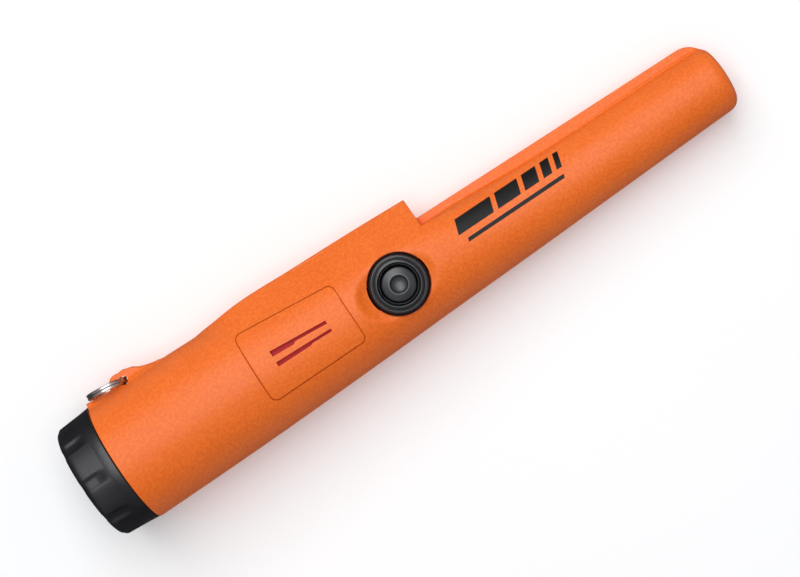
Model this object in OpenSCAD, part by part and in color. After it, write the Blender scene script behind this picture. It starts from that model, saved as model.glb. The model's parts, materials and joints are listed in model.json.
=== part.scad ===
// Pinpointer probe: a sealed, hand-held metal locating probe.
// It lies on its back, with its sensing tip towards +X, its ridge, scraper fin and ring lug
// towards +Y, and its button and speaker up, towards +Z. The origin is the middle of the
// underside of the box around it. Every sub-part is drawn about the straight centre line of
// the battery cap, with x measured from 3 mm behind the cap's outer face, and lay_down() then
// lays it on its back.

/* [Overall] */
// Place of the sensing tip
tip_x = 228.7; // [226:0.1:236]
// Angle by which the centre line dips towards the tip as the probe lies on its back
lie_angle = 2.7; // [2.6:0.1:2.8]
// Height of the centre line above the surface at x = 0
axis_height = 21.2; // [21.1:0.1:21.4]

/* [Housing] */
// Outer radius of the rear of the handle
rear_r = 19.4; // [19.3:0.1:19.6]
// Outer radius of the handle at the shoulder, where the ridge ends
shoulder_r = 15.4; // [15.2:0.1:15.8]
// Outer radius of the shaft where it leaves the blend behind the shoulder
shaft_r = 13.0; // [12.8:0.1:13.2]
// Outer radius of the shaft at the sensing tip
tip_r = 10.6; // [10.4:0.1:10.8]
// Rounding of the sensing tip
tip_round = 3.5; // [3:0.1:4]
// Place of the seam between the cap and the housing
seam_x = 15.6; // [15.5:0.1:15.8]
// Place where the handle starts to taper
taper_x = 50; // [49:0.5:52]
// Place of the shoulder
shoulder_x = 128.5; // [127.5:0.5:129]
// Height of the ridge's top at its rear end
ridge_rear_y = 20.7; // [20.4:0.1:21.2]
// Height of the ridge's top at the shoulder
ridge_front_y = 18.8; // [18.4:0.1:19.2]
// Angle between the ridge's flat flanks and the button direction
flank_angle = 40; // [37:1:42]

/* [Scraper fin] */
// Thickness of the fin
fin_t = 5; // [4:0.5:6]
// Height of the fin's edge at the shoulder
fin_rear_y = 12; // [11.8:0.1:12.2]
// Height of the fin's edge near the tip
fin_front_y = 10.6; // [10.4:0.1:10.8]
// Radius of the fin's rounded front corner
fin_round = 7; // [6:0.5:9]

/* [Battery cap] */
// Place of the cap's outer face
cap_face_x = 3; // [2.6:0.1:3.4]
// Radius of the cap's rear rim
cap_rim_r = 18.7; // [18.2:0.1:19]
// Radius of the cap's band beside the seam
cap_band_r = 19.5; // [19.3:0.1:19.6]
// Number of finger flutes around the cap
flute_count = 9; // [8:1:14]
// Pitch of the cap's screw thread
thread_pitch = 3; // [3:0.1:3.2]
// Number of turns of thread on the cap
thread_turns = 2.1; // [2:0.1:2.2]

/* [Button] */
// Place of the button along the handle
button_x = 113.5; // [112:0.5:114]
// Outer radius of the bezel
bezel_r = 9.4; // [9.2:0.1:9.6]
// Radius of the rubber button
button_r = 5.15; // [5:0.05:5.3]
// Travel of the button
button_travel = 0.8; // [0.5:0.1:0.8]
// Height of the lowest point of the thumb dish around the button
dish_z = 14.5; // [14.2:0.1:15]

/* [Speaker panel] */
// Rear edge of the panel
panel_rear_x = 64; // [63.5:0.5:65]
// Front edge of the panel
panel_front_x = 96.8; // [95:0.1:97]
// Gap around the panel
panel_gap = 0.2; // [0.15:0.05:0.3]
// Thickness of the panel
panel_t = 1.3; // [1.1:0.1:1.4]

/* [Lug and split ring] */
// Place of the lug's hole along the housing
lug_x = 29.1; // [28.5:0.1:30]
// Height of the lug's hole
lug_y = 20.3; // [20.2:0.1:20.6]
// Radius of the lug's hole
lug_hole_r = 1.5; // [1.45:0.05:1.6]
// Thickness of the lug
lug_t = 4; // [2.8:0.2:4.4]
// Outer radius of the split ring
ring_r = 6.5; // [6.3:0.1:7]
// Tilt of the split ring from the centre line as it lies back
ring_tilt = 7.5; // [7:0.5:12]

/* [Battery] */
// Width of the battery
battery_w = 26.5; // [26:0.1:26.5]
// Thickness of the battery
battery_t = 17.5; // [17:0.1:17.5]
// Length of the battery's case
battery_l = 45.8; // [45:0.1:46]

/* [Hidden] */
$fn = 64;
hair = 0.05;      // running clearance between a moving piece and its guide
eps = 0.01;       // overlap that keeps a cut clear of a face

// The box's middle
middle_x = 115.61;
middle_y = 1.95;

// Driven sizes
bay_r = rear_r - 3.2;                 // battery bay
bay_front_x = 76.4;                   // the bay's front end, where the electronics start
front_bay_r = shoulder_r - 2.2;       // electronics bay at the shoulder
shaft_y = -3.2;                       // centre of the shaft behind the blend
tip_y = -2.85;                        // centre of the shaft at the tip
blend_x = 150;                        // where the shaft becomes round
thread_root_r = 17.1;                 // the housing's thread bore
thread_crest_r = 16.25;               // the crest of the housing's thread
neck_r = 15.75;                       // the cap's neck between its threads
neck_crest_r = 16.75;                 // the crest of the cap's thread
neck_bore_r = 13.6;
neck_end_x = seam_x + 10.6;
thread_x = seam_x + 3.6;              // where the cap's thread starts
seal_bore_r = 17.3;                   // the smooth mouth that the O-ring runs in
oring_t = 1.7;
oring_x = seam_x + 1.4;
battery_x = neck_end_x + 0.3;
battery_front_x = battery_x + battery_l;
terminal_y = 12.7 / 2;                // half the spacing of the two battery terminals
button_y = -1.1;
bezel_seat_z = 12.9;
bezel_top_z = 17.4;
board_z = 2;                          // underside of the main board
board_t = 1.6;
switch_top_z = 7.4;
flange_z = 9.3;                       // underside of the rubber button's flange
dish_r = 50;                          // radius of the thumb dish's hollow
led_y = 15.1;
motor_y = -1;
motor_z = -8.6;
motor_x = 88;
motor_l = 12;
rod_x0 = 140;
rod_x1 = tip_x - 14;
rod_r = 4;
speaker_x = 80.5;
speaker_y = 0.4;

// ---------------------------------------------------------------- placing and shaping

module lay_down() {
    translate([-middle_x, -middle_y, axis_height]) rotate([0, lie_angle, 0]) children();
}

// A round bar along X from x0 to x1, whose radius goes from r0 to r1.
module bar(x0, x1, r0, r1, y = 0, z = 0) {
    translate([x0, y, z]) rotate([0, 90, 0]) cylinder(h = x1 - x0, r1 = r0, r2 = r1);
}

// A turned piece about X, from points [radius, x].
module turned(points, y = 0, z = 0) {
    translate([0, y, z]) rotate([0, 90, 0]) rotate_extrude() polygon(points);
}

// A box from corner a to corner b.
module block(a, b) {
    translate(a) cube(b - a);
}

function mix(a, b, f) = a + (b - a) * f;

// Points of an arc about centre c with radius r, from angle a0 to a1 in n steps.
function arc(c, r, a0, a1, n) =
    [for (i = [0:n]) let (a = mix(a0, a1, i / n)) c + r * [cos(a), sin(a)]];

// Side faces of a skin over rings of points, with both ends closed.
function skin_faces(rings, sides) = concat(
    [[for (j = [0:sides - 1]) j]],
    [[for (j = [0:sides - 1]) rings * sides - 1 - j]],
    [for (i = [0:rings - 2], j = [0:sides - 1])
        [i * sides + j, (i + 1) * sides + j, (i + 1) * sides + (j + 1) % sides]],
    [for (i = [0:rings - 2], j = [0:sides - 1])
        [i * sides + j, (i + 1) * sides + (j + 1) % sides, i * sides + (j + 1) % sides]]
);

// A wire of radius r swept along route, a list of points whose run is mainly along X.
module wire(route, r, sides = 8) {
    points = [for (p = route, j = [0:sides - 1])
        p + r * [0, cos(360 * j / sides), sin(360 * j / sides)]];
    polyhedron(points, skin_faces(len(route), sides));
}

// A helical thread ridge about X. It grows from the radius root to the radius crest, and
// fades out over a quarter turn at both ends.
module thread_ridge(x0, turns, root, crest) {
    per_turn = 24;
    steps = round(turns * per_turn);
    side = sign(crest - root);
    points = [for (i = [0:steps])
        let (
            fade = max(0.05, min(1, min(i, steps - i) / 6)),
            top = mix(root, crest, fade),
            a = 360 * i / per_turn,
            x = x0 + thread_pitch * i / per_turn
        )
        for (p = [[0.8, root], [0.32, top], [-0.32, top], [-0.8, root]])
            [x + side * p[0], p[1] * cos(a), p[1] * sin(a)]];
    polyhedron(points, skin_faces(steps + 1, 4));
}

// ---------------------------------------------------------------- the housing's outer form

// The handle's radius and the height of its centre at x.
function taper(x) = max(0, (x - taper_x) / (shoulder_x - taper_x));
function handle_r(x) = mix(rear_r, shoulder_r, taper(x));
function handle_y(x) = -1.5 * taper(x);
function ridge_y(x) = mix(ridge_rear_y, ridge_front_y, (x - 68) / (shoulder_x - 68));

// A station is [x, centre height, half height, half width, angle from +Y at which the round
// underside ends, height of the flat top].
function round_station(x) = [x, handle_y(x), handle_r(x), handle_r(x), 8, handle_y(x) + handle_r(x)];
function ridge_station(x, angle, top) = [x, handle_y(x), handle_r(x), handle_r(x), angle, top];
function shaft_station(x, shrink = 0) =
    let (
        f = (x - blend_x) / (tip_x - blend_x),
        r = mix(shaft_r, tip_r, f) - shrink,
        y = mix(shaft_y, tip_y, f)
    )
    [x, y, r, r, 30, y + r];

stations = concat(
    [round_station(seam_x), round_station(taper_x)],
    [ridge_station(56, 30, 19.5), ridge_station(62, 42, 20.2)],
    [for (x = [68, 90, button_x, shoulder_x - 0.6])
        ridge_station(x, 90 - flank_angle, ridge_y(x))],
    [ridge_station(shoulder_x, 90 - flank_angle, ridge_front_y - 0.6)],
    [ridge_station(shoulder_x + eps, 90 - flank_angle, 9.6)],
    [[shoulder_x + 11, mix(handle_y(shoulder_x), shaft_y, 0.55), 14, 14.1, 52, 9.8]],
    [for (x = [blend_x, mix(blend_x, tip_x, 0.5)]) shaft_station(x)],
    [for (a = [0:22.5:90]) shaft_station(
        tip_x - tip_round + tip_round * sin(a), tip_round * (1 - cos(a)))]
);

arc_steps = 40;
// The outline of a station: the round underside, then the two corners of the flat top.
function outline(s) =
    let (top_w = s[3] * (1 - (s[5] - s[1]) / s[2] * cos(s[4])) / sin(s[4]))
    concat(
        [for (i = [0:arc_steps])
            let (a = mix(s[4], 360 - s[4], i / arc_steps))
            [s[0], s[1] + s[2] * cos(a), s[3] * sin(a)]],
        [[s[0], s[5], -top_w], [s[0], s[5], top_w]]
    );

module outer_form() {
    polyhedron([for (s = stations) each outline(s)], skin_faces(len(stations), arc_steps + 3));
}

module fin() {
    end_x = tip_x - 0.8;
    edge = concat(
        [[shoulder_x - 3, 4], [shoulder_x - 3, fin_rear_y]],
        arc([end_x - fin_round, fin_front_y - fin_round], fin_round, 90, 10, 6),
        [[end_x - 0.3, 4]]
    );
    translate([0, 0, -fin_t / 2]) linear_extrude(fin_t) polygon(edge);
}

// The lug, and the low rib that runs back from it to the seam.
module lug() {
    rib_y = rear_r + 0.5;
    translate([0, 0, -lug_t / 2]) linear_extrude(lug_t) {
        hull() {
            translate([lug_x - 2.3, lug_y + 0.4]) circle(r = 2.3, $fn = 32);
            translate([lug_x + 0.9, lug_y - 1.6]) circle(r = 4.7, $fn = 32);
            translate([lug_x + 10.6, rear_r - 1.1]) circle(r = 0.9, $fn = 16);
        }
        translate([seam_x, rib_y - 3]) square([lug_x - seam_x, 3]);
    }
}

// The outline of the speaker panel, grown by more on every side.
module panel_outline(more = 0) {
    r = 2;
    hull() for (p = [
        [panel_rear_x + r, 12.6 - r], [panel_front_x - r, 10.1 - r],
        [panel_front_x - r, r - 9.5], [panel_rear_x + r, r - 9.7]
    ]) translate(p) circle(r = r + more, $fn = 24);
}

// Everything deeper than depth under the round of the handle.
module under_panel(depth) {
    x0 = panel_rear_x - 4;
    x1 = panel_front_x + 4;
    bar(x0, x1, handle_r(x0) - depth, handle_r(x1) - depth, handle_y((x0 + x1) / 2));
}

module button_place() {
    translate([button_x, button_y, 0]) children();
}

// The land that the probe lies on, cut flat and level.
module rest_cut() {
    translate([-tip_x / 2 - 5, -30, -10]) cube([tip_x + 10, 60, 10]);
}

module housing() {
    color([0.95, 0.45, 0.15]) difference() {
        lay_down() {
            difference() {
                union() {
                    outer_form();
                    fin();
                    lug();
                }
                bar(seam_x - 1, seam_x + 3, seal_bore_r, seal_bore_r);
                bar(seam_x + 2, neck_end_x + 0.6, thread_root_r, thread_root_r);
                bar(neck_end_x, bay_front_x, bay_r, bay_r);
                bar(bay_front_x - 1, shoulder_x - 2, bay_r - 0.5, front_bay_r, -0.6);
                bar(shoulder_x - 4, tip_x - 4, shaft_r - 1.9, tip_r - 2.1, -3);
                block([100, 6, -3.3], [shoulder_x - 4, 16.3, 3.3]);
                bar(shoulder_x - 6, shoulder_x + 2, 2.35, 2.35, led_y);
                button_place() translate([0, 0, bezel_seat_z - 0.5]) cylinder(h = 8, r = bezel_r + hair);
                button_place() translate([0, 0, 4]) cylinder(h = 12, r = 7.3);
                button_place() translate([0, 0, dish_z + dish_r]) sphere(r = dish_r, $fn = 128);
                difference() {
                    translate([0, 0, 5]) linear_extrude(20) panel_outline(panel_gap);
                    under_panel(panel_t + 0.1);
                }
                translate([speaker_x, speaker_y, 8]) cylinder(h = 12, r = 8);
                translate([lug_x, lug_y, -5]) cylinder(h = 10, r = lug_hole_r);
            }
            thread_ridge(thread_x + thread_pitch / 2, thread_turns, thread_root_r + 0.4, thread_crest_r);
        }
        rest_cut();
    }
}

// ---------------------------------------------------------------- the battery cap and its seal

// The cutter of one finger flute, which fades out at the cap's band.
module flute_cutter() {
    cutter_r = 6;
    translate([seam_x - 2.8, cap_band_r + cutter_r + 0.1, 0]) rotate([0, 0, 12.5])
        rotate([0, -90, 0]) cylinder(h = 20, r = cutter_r);
}

module battery_cap() {
    corner = 2.5;
    floor_x = cap_face_x + 3.2;
    outer = concat(
        arc([cap_rim_r - corner, cap_face_x + corner + 0.2], corner, -90, -10, 6),
        [[cap_band_r - 0.1, seam_x - 2.4], [cap_band_r, seam_x - 2.2], [cap_band_r, seam_x - 0.1]]
    );
    neck = [
        [16.9, seam_x - 0.1], [16.9, seam_x + 0.4], [15.4, seam_x + 0.4], [15.4, seam_x + 2.4],
        [16.6, seam_x + 2.4], [16.6, seam_x + 3], [neck_r, seam_x + 3], [neck_r, neck_end_x],
        [neck_bore_r, neck_end_x]
    ];
    inside = [
        [neck_bore_r, floor_x], [7, floor_x], [7, seam_x + 1.8], [5.6, seam_x + 1.8],
        [5.6, floor_x], [0, floor_x]
    ];
    color([0.08, 0.08, 0.09]) lay_down() {
        difference() {
            turned(concat([[0, cap_face_x], [6, cap_face_x + 0.02]], outer, neck, inside));
            for (i = [0:flute_count - 1]) rotate([8.5 + 360 / flute_count * i, 0, 0]) flute_cutter();
        }
        thread_ridge(thread_x, thread_turns, neck_r - 0.4, neck_crest_r);
    }
}

module cap_oring() {
    color([0.1, 0.1, 0.1]) lay_down() translate([oring_x, 0, 0]) rotate([0, 90, 0])
        rotate_extrude() translate([seal_bore_r - hair - oring_t / 2, 0]) circle(d = oring_t, $fn = 32);
}

// The foam pad that presses the battery onto its contacts.
module cap_foam() {
    color([0.25, 0.25, 0.27]) lay_down() bar(seam_x + 1.9, neck_end_x + 0.1, 12.8, 12.8);
}

// ---------------------------------------------------------------- the split ring

// A flat-wound ring of two turns lying back from the lug's hole.
module split_ring() {
    wire_w = 1.1;
    coil_t = 0.96;
    mean_r = ring_r - wire_w / 2;
    color([0.8, 0.8, 0.82]) lay_down() translate([lug_x, lug_y, 0]) rotate([0, 0, -ring_tilt])
        translate([-mean_r, 0, 0]) rotate([-90, 0, 0]) difference() {
            translate([0, 0, -coil_t]) cylinder(h = 2 * coil_t, r = ring_r);
            translate([0, 0, -2]) cylinder(h = 4, r = ring_r - wire_w);
            rotate_extrude() translate([ring_r, 0]) circle(r = 0.16, $fn = 16);
        }
}

// ---------------------------------------------------------------- the speaker

// A sound slot of width w between two points, as a cutter.
module slot(a, b, w) {
    run = b - a;
    translate([a[0], a[1], 5]) rotate([0, 0, atan2(run[1], run[0])])
        translate([0, -w / 2, 0]) cube([norm(run), w, 20]);
}

module speaker_cover() {
    color([0.95, 0.45, 0.15]) lay_down() difference() {
        intersection() {
            outer_form();
            translate([0, 0, 5]) linear_extrude(20) panel_outline();
        }
        under_panel(panel_t);
        slot([71.1, 2.7], [78.5, 2.2], 1.7);
        slot([77, 2.5], [89.7, 1.5], 1.05);
        slot([71, -0.85], [82.5, -1.05], 1.35);
        slot([81, -0.95], [89.7, -1.15], 0.95);
    }
}

// The speaker's parts lie on each other under the opening behind the panel.
module speaker_disc(z0, z1, r) {
    translate([speaker_x, speaker_y, z0]) cylinder(h = z1 - z0, r = r);
}

module speaker_membrane() {
    color([0.6, 0.08, 0.1]) lay_down() speaker_disc(13, 13.3, 7.9);
}

module speaker_gasket() {
    color([0.15, 0.15, 0.15]) lay_down() difference() {
        speaker_disc(12.2, 12.98, 7.9);
        speaker_disc(12, 14, 6.4);
    }
}

module piezo_speaker() {
    color([0.75, 0.62, 0.3]) lay_down() difference() {
        union() {
            speaker_disc(9.1, 12.15, 7.9);
            speaker_disc(8.7, 9.2, 5);
        }
        speaker_disc(11.4, 13, 6.9);
    }
}

// ---------------------------------------------------------------- the button and its switch

module button_bezel() {
    profile = concat(
        [[6.0, 10.6], [7.1, 10.6], [7.1, bezel_seat_z], [bezel_r, bezel_seat_z], [bezel_r, 15.9]],
        [[bezel_r - 0.7, 16.7]],
        arc([bezel_r - 1.6, 16.6], 0.8, 10, 90, 4),
        [[7.1, bezel_top_z], [6.2, 16.5], [6.0, 16]]
    );
    color([0.1, 0.1, 0.11]) lay_down() button_place() rotate_extrude() polygon(profile);
}

module bezel_seal() {
    color([0.2, 0.2, 0.2]) lay_down() button_place() difference() {
        translate([0, 0, bezel_seat_z - 0.48]) cylinder(h = 0.46, r = bezel_r - 0.1);
        translate([0, 0, bezel_seat_z - 1]) cylinder(h = 2, r = 7.4);
    }
}

// The rubber button: a domed head with a dimple, on a flange that stops under the bezel.
module button_cap() {
    profile = concat(
        [[0, flange_z], [6.8, flange_z], [6.8, 10.5], [button_r, 10.5]],
        arc([button_r - 0.9, 15.9], 0.9, 0, 70, 4),
        [[3.2, 17.1]],
        arc([2.4, 16.9], 0.4, 60, 150, 3),
        [[0, 16.7]]
    );
    color([0.12, 0.12, 0.13]) lay_down() button_place() rotate_extrude() polygon(profile);
}

module switch_plunger() {
    color([0.85, 0.85, 0.8]) lay_down() button_place()
        translate([0, 0, 6.2]) cylinder(h = flange_z - 6.2, r = 1.7);
}

module tact_switch() {
    half = 3;
    color([0.2, 0.2, 0.22]) lay_down() button_place() difference() {
        block([-half, -half, board_z + board_t], [half, half, switch_top_z]);
        translate([0, 0, 5]) cylinder(h = 5, r = 1.7 + hair);
    }
}

// ---------------------------------------------------------------- the search lamp

module led_lens() {
    color([0.9, 0.93, 0.95]) lay_down()
        turned([[0, 126.3], [2.3, 126.3], [2.3, 128.2], [1.6, 128.5], [0, 128.7]], led_y);
}

module led() {
    color([0.95, 0.95, 0.9]) lay_down() union() {
        bar(120, 121, 1.6, 1.6, led_y - 0.6);
        turned(concat([[0, 120.5], [1.5, 120.5]], arc([0, 124.5], 1.5, 0, 90, 6)), led_y - 0.6);
    }
}

module led_board() {
    color([0.1, 0.4, 0.25]) lay_down() block([118.8, 12, -3], [119.95, 16.1, 3]);
}

// ---------------------------------------------------------------- the chassis and the boards

// Posts and screws stand at the four corners of the main board.
screw_places = [for (x = [85, 121], y = [-9, 7]) [x, y]];

module chassis() {
    color([0.82, 0.82, 0.8]) lay_down() difference() {
        union() {
            intersection() {
                bar(77.2, 79.4, 14.6, 14.6, -0.5);
                block([70, -20, -20], [90, 20, 8.6]);
            }
            block([79.3, -11, -4.2], [124.5, 9, -2.6]);
            for (y = [-11, 7.4]) block([79.3, y, -2.7], [124.5, y + 1.6, 0]);
            for (p = screw_places) translate([p[0], p[1], -3]) cylinder(h = 5, r = 2);
            for (x = [motor_x + 1.5, motor_x + 9])
                block([x, motor_y - 5.6, motor_z - 1], [x + 2, motor_y + 5.6, -4.1]);
        }
        for (p = screw_places) translate([p[0], p[1], -5]) cylinder(h = 10, r = 0.75);
        bar(motor_x - 1, motor_x + motor_l, 4.3, 4.3, motor_y, motor_z);
        for (y = [-5, 5]) bar(76, 80, 1.9, 1.9, y, 4.7);
    }
}

module chassis_screws() {
    color([0.75, 0.75, 0.77]) lay_down() for (p = screw_places) translate([p[0], p[1], 0]) {
        translate([0, 0, -1]) cylinder(h = board_z + board_t + 1.1, r = 0.7);
        difference() {
            translate([0, 0, board_z + board_t + 0.02]) cylinder(h = 1.2, r = 1.6);
            for (a = [0, 90]) rotate([0, 0, a])
                translate([-1, -0.2, board_z + board_t + 0.7]) cube([2, 0.4, 2]);
        }
    }
}

module main_pcb() {
    color([0.08, 0.35, 0.2]) lay_down() difference() {
        block([82, -11.6, board_z + 0.02], [124, 9.8, board_z + board_t - 0.02]);
        for (p = screw_places) translate([p[0], p[1], 0]) cylinder(h = 10, r = 0.9);
    }
}

// Chips and other parts on the main board: [x, y, length, width, height].
component_list = [
    [97.5, -3, 8, 8, 1.6], [95, 6, 6, 4, 1.4], [103.5, 5.5, 4, 6, 1.8],
    [89, 0, 5, 4, 1.5], [119.5, -1, 3.5, 6, 2], [91, -9.5, 5, 3, 1.2], [105, -9, 5, 3, 1.2]
];

module pcb_components() {
    color([0.12, 0.12, 0.13]) lay_down() {
        for (c = component_list) block(
            [c[0] - c[2] / 2, c[1] - c[3] / 2, board_z + board_t],
            [c[0] + c[2] / 2, c[1] + c[3] / 2, board_z + board_t + c[4]]);
        translate([108.3, 7, board_z + board_t]) cylinder(h = 4, r = 1.9);
    }
}

// ---------------------------------------------------------------- the vibration motor

module vibration_motor() {
    color([0.78, 0.78, 0.8]) lay_down() difference() {
        union() {
            bar(motor_x, motor_x + motor_l, 3.5, 3.5, motor_y, motor_z);
            bar(motor_x + motor_l - 0.1, motor_x + motor_l + 0.8, 1.5, 1.5, motor_y, motor_z);
        }
        bar(motor_x + 5, motor_x + motor_l + 2, 0.5 + hair, 0.5 + hair, motor_y, motor_z);
    }
}

// The motor's shaft with its eccentric weight, which hangs to one side.
module motor_weight() {
    x0 = motor_x + motor_l + 1;
    color([0.7, 0.68, 0.62]) lay_down() union() {
        bar(motor_x + 5.2, x0 + 4.4, 0.5, 0.5, motor_y, motor_z);
        difference() {
            bar(x0, x0 + 4, 3, 3, motor_y, motor_z);
            block([x0 - 1, motor_y - 4, motor_z + 0.8], [x0 + 5, motor_y + 4, motor_z + 4]);
        }
    }
}

module motor_sleeve() {
    color([0.15, 0.15, 0.16]) lay_down() difference() {
        bar(motor_x + 0.8, motor_x + 11.6, 4.25, 4.25, motor_y, motor_z);
        bar(motor_x - 1, motor_x + 14, 3.52, 3.52, motor_y, motor_z);
    }
}

// ---------------------------------------------------------------- the battery and its contacts

battery_z = -0.9;

module battery() {
    corner = 2;
    color([0.25, 0.27, 0.3]) lay_down() translate([battery_x, 0, battery_z]) rotate([0, 90, 0])
        linear_extrude(battery_l) hull() for (y = [-1, 1], z = [-1, 1])
            translate([z * (battery_t / 2 - corner), y * (battery_w / 2 - corner)])
                circle(r = corner, $fn = 24);
}

module battery_terminals() {
    x0 = battery_front_x + 0.02;
    color([0.8, 0.78, 0.7]) lay_down() {
        bar(x0, x0 + 2.7, 2.85, 2.85, terminal_y, battery_z);
        difference() {
            bar(x0, x0 + 2.7, 4.1, 4.1, -terminal_y, battery_z);
            bar(x0 + 0.6, x0 + 4, 3, 3, -terminal_y, battery_z);
        }
    }
}

module snap_board() {
    x0 = battery_front_x + 3.1;
    color([0.16, 0.3, 0.5]) lay_down() difference() {
        block([x0, -12, battery_z - 5.5], [x0 + 1.2, 12, battery_z + 5.5]);
        for (y = [-5, 5]) bar(x0 - 1, x0 + 3, 0.9, 0.9, y, 3.2);
    }
}

module snap_contacts() {
    x0 = battery_front_x + 3.08;
    color([0.85, 0.83, 0.75]) lay_down() {
        difference() {
            bar(x0 - 2.4, x0, 3.9, 3.9, terminal_y, battery_z);
            bar(x0 - 4, x0 - 0.3, 2.95, 2.95, terminal_y, battery_z);
        }
        bar(x0 - 2.2, x0, 2.8, 2.8, -terminal_y, battery_z);
    }
}

// Two leads from the battery contacts up to the main board.
module battery_leads() {
    x0 = battery_front_x + 3.2;
    color([0.7, 0.1, 0.1]) lay_down() for (y = [-5, 5])
        wire([[x0, y, 3.2], [x0 + 1.2, y, 3.3], [x0 + 2.4, y, 4], [79, y, 5.2], [80.5, y, 5.6],
            [81.8, y, 5.4], [83, y, 4.1]], 0.45);
}

// ---------------------------------------------------------------- the search coil in the tip

rod_y = -3;

module ferrite_rod() {
    color([0.2, 0.2, 0.21]) lay_down() bar(rod_x0, rod_x1, rod_r, rod_r, rod_y);
}

// The bobbin: a thin tube with a flange at each end of the two windings.
module coil_bobbin() {
    inner = rod_r + hair;
    color([0.9, 0.88, 0.8]) lay_down() difference() {
        union() {
            bar(rod_x1 - 46, rod_x1 - 2, inner + 0.9, inner + 0.9, rod_y);
            for (x = [rod_x1 - 46, rod_x1 - 24.5, rod_x1 - 3.4])
                bar(x, x + 1.4, 7.2, 7.2, rod_y);
        }
        bar(rod_x1 - 50, rod_x1, inner, inner, rod_y);
    }
}

module search_coil() {
    color([0.72, 0.4, 0.2]) lay_down() for (x = [rod_x1 - 44.5, rod_x1 - 23]) difference() {
        bar(x, x + 19.5, 6.6, 6.6, rod_y);
        bar(x - 1, x + 21, rod_r + 0.98, rod_r + 0.98, rod_y);
    }
}

// The cradle that centres the rod's rear end in the shaft.
module rod_cradle() {
    color([0.82, 0.82, 0.8]) lay_down() difference() {
        union() {
            bar(rod_x0 - 2, rod_x0 + 8, 5.4, 5.4, rod_y);
            for (x = [rod_x0 - 1, rod_x0 + 5]) bar(x, x + 1.6, 10.2, 10.2, rod_y);
        }
        bar(rod_x0 - 0.02, rod_x0 + 9, rod_r + hair, rod_r + hair, rod_y);
        bar(rod_x0 - 4, rod_x0 + 1, 2, 2, rod_y);
        for (z = [-7.6, 7.6]) bar(rod_x0 - 4, rod_x0 + 9, 1.1, 1.1, rod_y, z);
    }
}

// The foam that steadies the rod's front end.
module tip_pad() {
    color([0.3, 0.3, 0.32]) lay_down() difference() {
        bar(rod_x1 - 1.5, rod_x1 + 8, 8.5, 8.2, rod_y);
        bar(rod_x1 - 3, rod_x1 + 0.1, rod_r + 0.1, rod_r + 0.1, rod_y);
    }
}

// The twin lead from the main board to the coils, held along the rod's cradle.
module coil_leads() {
    color([0.75, 0.6, 0.2]) lay_down() for (s = [-1, 1]) {
        z = 7.6 * s;
        wire([[122.5, rod_y - 4, 5 * s], [127, rod_y - 3, 6.2 * s], [132, rod_y - 1, 7.2 * s],
            [136, rod_y, z], [150, rod_y, z], [160, rod_y, z], [166, rod_y, 7.2 * s],
            [168.6, rod_y, 6 * s]], 0.4);
    }
}

housing();
battery_cap();
cap_oring();
cap_foam();
split_ring();
speaker_cover();
speaker_membrane();
speaker_gasket();
piezo_speaker();
button_bezel();
bezel_seal();
button_cap();
switch_plunger();
tact_switch();
led_lens();
led();
led_board();
chassis();
chassis_screws();
main_pcb();
pcb_components();
vibration_motor();
motor_weight();
motor_sleeve();
battery();
battery_terminals();
snap_board();
snap_contacts();
battery_leads();
ferrite_rod();
coil_bobbin();
search_coil();
rod_cradle();
tip_pad();
coil_leads();
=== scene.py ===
"""The looks of the pinpointer probe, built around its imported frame.

Shapes are worked out in millimetres about the probe's centre line: x from 3 mm behind the cap's
outer face to the sensing tip, y towards the ridge, and z towards the button. laid() puts them in
the row frame, in metres, which the cap's and the split ring's joints fix in place.
"""

import json
import math

import bmesh
import bpy
import numpy as np
from mathutils import Matrix, Vector


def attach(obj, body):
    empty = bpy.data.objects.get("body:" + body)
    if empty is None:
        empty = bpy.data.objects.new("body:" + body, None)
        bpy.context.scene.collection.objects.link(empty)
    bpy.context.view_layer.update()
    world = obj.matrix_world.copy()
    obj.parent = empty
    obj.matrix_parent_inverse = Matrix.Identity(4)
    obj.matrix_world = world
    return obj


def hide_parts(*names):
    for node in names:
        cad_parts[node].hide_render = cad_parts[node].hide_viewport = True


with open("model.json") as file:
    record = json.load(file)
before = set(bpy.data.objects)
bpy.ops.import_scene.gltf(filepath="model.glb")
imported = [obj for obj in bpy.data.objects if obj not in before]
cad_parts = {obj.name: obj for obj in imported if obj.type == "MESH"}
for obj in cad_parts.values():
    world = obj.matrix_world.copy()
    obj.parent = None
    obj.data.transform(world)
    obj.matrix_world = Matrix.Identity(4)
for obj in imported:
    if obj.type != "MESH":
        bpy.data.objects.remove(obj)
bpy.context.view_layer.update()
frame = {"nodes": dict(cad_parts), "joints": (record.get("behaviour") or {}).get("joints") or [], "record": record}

MM = 0.001

# ------------------------------------------------------------------ the probe's own axes

JOINTS = {j["name"]: j for j in frame["joints"]}
CAP_PIVOT_X = 10.0          # where the cap's joint sits on the centre line
AXIS_X = -Vector(JOINTS["cap_turn"]["axis"]).normalized()
AXIS_Z = -Vector(JOINTS["ring_swing"]["axis"]).normalized()
AXIS_Y = AXIS_Z.cross(AXIS_X)
ORIGIN = Vector(JOINTS["cap_turn"]["pos_m"]) - AXIS_X * CAP_PIVOT_X * MM
AXES = np.array([AXIS_X, AXIS_Y, AXIS_Z], float)


def laid(points):
    """Points in the probe's millimetres, as metres in the row frame."""
    return np.asarray(points, float) @ (AXES * MM) + np.array(ORIGIN)


def height_over_floor(x, z):
    """Height in millimetres over the surface that the probe lies on."""
    return ORIGIN.z / MM + x * AXIS_X.z + z * AXIS_Z.z


# ------------------------------------------------------------------ sizes, as in the design

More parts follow.
